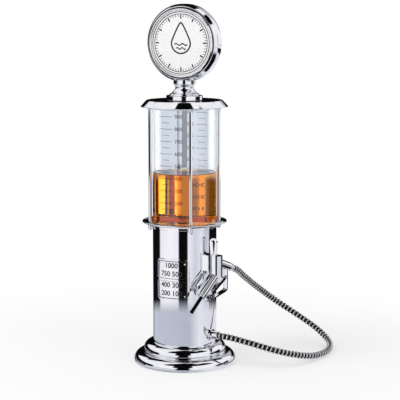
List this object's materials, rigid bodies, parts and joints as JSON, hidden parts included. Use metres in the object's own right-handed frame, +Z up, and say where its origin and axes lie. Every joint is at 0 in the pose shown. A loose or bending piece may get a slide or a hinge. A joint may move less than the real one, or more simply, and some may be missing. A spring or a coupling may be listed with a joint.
{
  "type": "drink dispenser",
  "caption": "Fuel-pump-shaped gravity drink dispenser: graduated clear reservoir on a pedestal, ribbed hose, hand nozzle with trigger valve, lift-off filler cap with round sign.",
  "frame": {"origin": "centre of the foot's underside, on the table", "axes": "+Z up, -Y the front with the plate and the sign's printed face, the hose and nozzle towards +X"},
  "size_m": [0.2558, 0.2559, 0.5079],
  "materials": {
    "chrome": "mirror chrome plate",
    "hose_metal": "bright interlocked metal hose",
    "steel": "plain bright steel",
    "brass": "turned brass",
    "rubber": "moulded black rubber",
    "silicone": "translucent silicone",
    "glass": "clear, printed scale",
    "sign_white": "gloss white with black print"
  },
  "bodies": {
    "root": {"base_pad": "rubber", "closing_plate": "steel", "closing_screws": "steel", "base": "chrome", "body_tube": "chrome", "front_plate": "steel", "plate_rivets": "steel", "outlet_fitting": "chrome", "outlet_washer": "rubber", "outlet_nut": "brass", "outlet_ferrule": "chrome", "feed_tube": "silicone", "drain_fitting": "brass", "drain_gasket": "rubber", "drain_nut": "brass", "collar": "chrome", "bottom_gasket": "rubber", "glass_cylinder": "glass", "top_gasket": "rubber", "lid": "chrome", "tie_rod_1": "chrome", "tie_rod_2": "chrome", "tie_rod_3": "chrome", "tie_rod_4": "chrome", "rod_nuts": "chrome", "holder": "steel", "holder_screws": "steel", "hose": "hose_metal"},
    "filler": {"filler_cap": "chrome", "filler_plug": "silicone", "filler_seal": "rubber", "neck": "chrome", "sign_stud": "steel", "stud_nuts": "steel", "sign_rim": "chrome", "front_bezel": "chrome", "front_face": "sign_white", "back_bezel": "chrome", "back_face": "sign_white"},
    "nozzle": {"nozzle_body": "chrome", "valve_cap": "chrome", "valve_spring": "steel", "hang_stud": "steel", "trigger_guard": "chrome", "trigger_pin": "steel", "spout_nut": "chrome", "spout_tube": "chrome", "nozzle_ferrule": "chrome"},
    "trigger": {"trigger": "chrome"},
    "plunger": {"valve_plunger": "brass", "valve_washer": "rubber"}
  },
  "joints": [
    {"name": "filler_lift", "type": "slide", "parent": "root", "child": "filler", "axis": [0, 0, 1], "range_m": [0, 0.06]},
    {"name": "nozzle_lift", "type": "slide", "parent": "root", "child": "nozzle", "axis": [0, 0, 1], "range_m": [0, 0.0145], "deforming": ["hose"]},
    {"name": "trigger_pull", "type": "hinge", "parent": "nozzle", "child": "trigger", "pos_m": [0.05422, -0.04218, 0.10643], "axis": [0.9833, -0.1822, 0], "range_deg": [0, 6.5], "stiffness_Nm_per_rad": 0.3, "springref_deg": -11.46},
    {"name": "plunger_slide", "type": "slide", "parent": "nozzle", "child": "plunger", "axis": [0, 0, 1], "range_m": [0, 0.0038], "deforming": ["valve_spring"]}
  ],
  "couplings": [
    {"joint": "plunger_slide", "follows": "trigger_pull", "m_per_rad": 0.0328}
  ]
}
